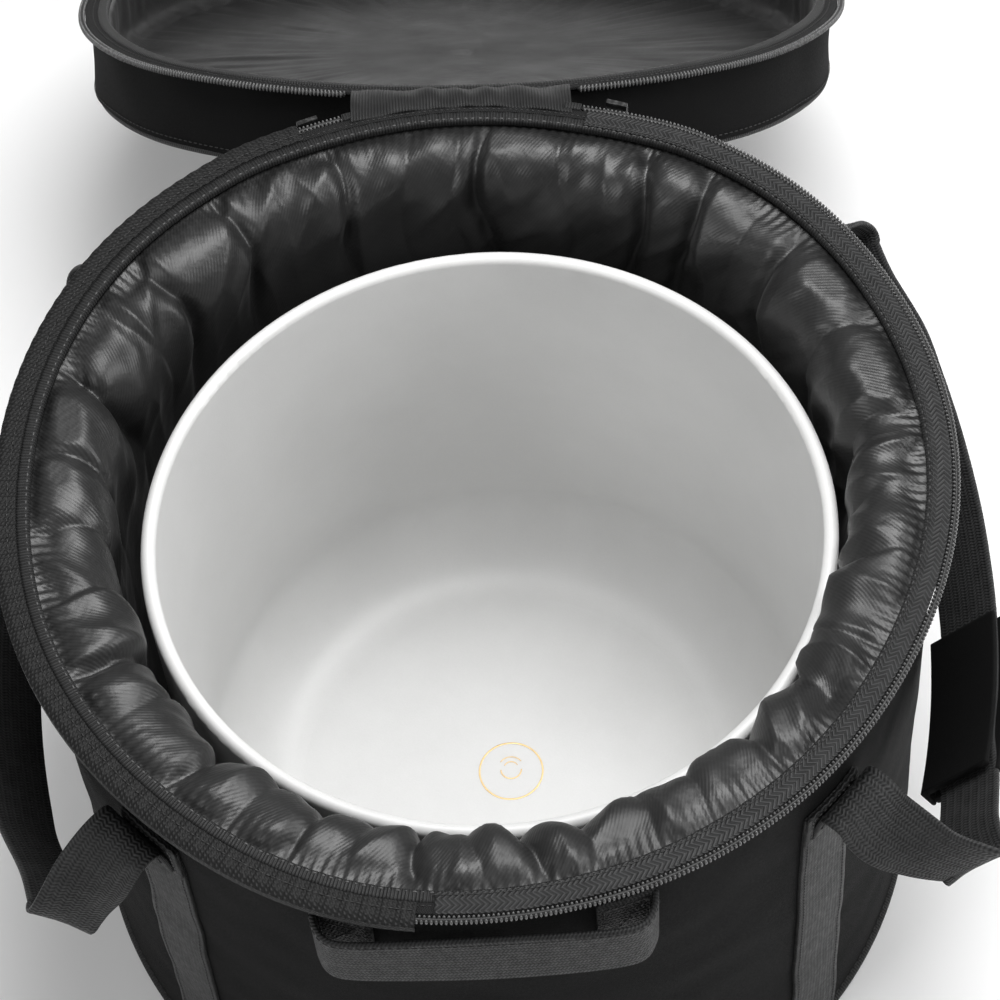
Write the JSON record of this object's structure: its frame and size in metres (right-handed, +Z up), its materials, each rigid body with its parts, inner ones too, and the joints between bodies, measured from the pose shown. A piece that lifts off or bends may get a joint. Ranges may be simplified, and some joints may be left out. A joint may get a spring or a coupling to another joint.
{
  "type": "crystal singing bowl in padded carry bag",
  "caption": "Frosted quartz singing bowl standing in a round padded carry bag with zip-off lid folded back, gathered lining, webbing side handles and a front grab handle.",
  "frame": {"origin": "centre of the bag's round base, on the surface it stands on", "axes": "+Z up out of the bag's mouth, +X towards the side handle with the grip wrap, +Y towards the hinge and the folded-back lid, -Y is the front with the grab handle"},
  "size_m": [0.5425, 0.9289, 0.3382],
  "materials": {
    "quartz": "frosted white quartz, satin outside and inside, slightly translucent",
    "canvas": "black polyester weave, matte",
    "satin": "black nylon twill lining with a soft sheen",
    "webbing": "black ribbed polypropylene webbing",
    "binding": "black grosgrain binding with pale stitches",
    "coil": "black nylon zip coil, slightly glossy teeth",
    "black_metal": "black enamelled metal",
    "foam": "grey padding foam, out of sight inside the walls",
    "board": "stiff plastic base board, out of sight"
  },
  "bodies": {
    "bag": {"base_panel": "canvas", "base_piping": "binding", "base_board": "board", "base_foam": "foam", "base_lining": "satin", "wall_foam": "foam", "lining": "satin", "side_panel_front": "canvas", "side_panel_back": "canvas", "hem_binding": "binding", "zip_tape": "binding", "zip_coil": "coil", "zip_end_tabs": "binding", "hinge_panel": "binding", "strap_front_left": "webbing", "strap_front_right": "webbing", "strap_back_left": "webbing", "strap_back_right": "webbing", "anchor_patches": "webbing", "front_handle_patches": "webbing", "lining_stud": "black_metal"},
    "bowl": {"quartz_bowl": "quartz"},
    "lid": {"lid_top": "canvas", "lid_piping": "binding", "lid_foam": "foam", "lid_lining": "satin", "lid_wall": "canvas", "lid_wall_foam": "foam", "lid_wall_lining": "satin", "lid_hem_binding": "binding", "lid_zip_tape": "binding", "lid_zip_coil": "coil", "lid_hinge_flap": "binding"},
    "left_handle": {"left_handle": "webbing"},
    "right_handle": {"right_handle": "webbing", "grip_wrap": "canvas"},
    "grip_flap": {"grip_flap": "canvas"},
    "front_handle": {"front_handle": "webbing"},
    "slider_left": {"slider_left": "black_metal"},
    "slider_right": {"slider_right": "black_metal"},
    "pull_left": {"pull_left": "black_metal"},
    "pull_right": {"pull_right": "black_metal"}
  },
  "joints": [
    {"name": "lid_fold", "type": "hinge", "parent": "bag", "child": "lid", "pos_m": [0, 0.255, 0.3326], "axis": [-0.9997, 0, 0.0244], "range_deg": [-213, 0]},
    {"name": "bowl_lift", "type": "slide", "parent": "bag", "child": "bowl", "axis": [0, 0, 1], "range_m": [0, 0.4]},
    {"name": "left_handle_swing", "type": "hinge", "parent": "bag", "child": "left_handle", "pos_m": [-0.178, 0, 0.285], "axis": [0, 1, 0], "range_deg": [0, 66]},
    {"name": "right_handle_swing", "type": "hinge", "parent": "bag", "child": "right_handle", "pos_m": [0.178, 0, 0.285], "axis": [0, -1, 0], "range_deg": [0, 66]},
    {"name": "grip_flap_open", "type": "hinge", "parent": "right_handle", "child": "grip_flap", "pos_m": [0.23731, -0.08982, 0.20187], "axis": [0.1738, 0.9713, -0.1621], "range_deg": [0, 150]},
    {"name": "front_handle_swing", "type": "hinge", "parent": "bag", "child": "front_handle", "pos_m": [0, -0.22433, 0.293], "axis": [-1, 0, 0], "range_deg": [-8, 8]},
    {"name": "slider_left_run", "type": "hinge", "parent": "bag", "child": "slider_left", "pos_m": [0, 0, 0.337], "axis": [0, 0, 1], "range_deg": [0, 152]},
    {"name": "slider_right_run", "type": "hinge", "parent": "bag", "child": "slider_right", "pos_m": [0, 0, 0.337], "axis": [0, 0, -1], "range_deg": [0, 152]},
    {"name": "pull_left_flip", "type": "hinge", "parent": "slider_left", "child": "pull_left", "pos_m": [-0.08568, 0.23539, 0.334], "axis": [0.9397, 0.342, 0], "range_deg": [0, 110]},
    {"name": "pull_right_flip", "type": "hinge", "parent": "slider_right", "child": "pull_right", "pos_m": [0.08568, 0.23539, 0.334], "axis": [0.9397, -0.342, 0], "range_deg": [0, 110]}
  ]
}
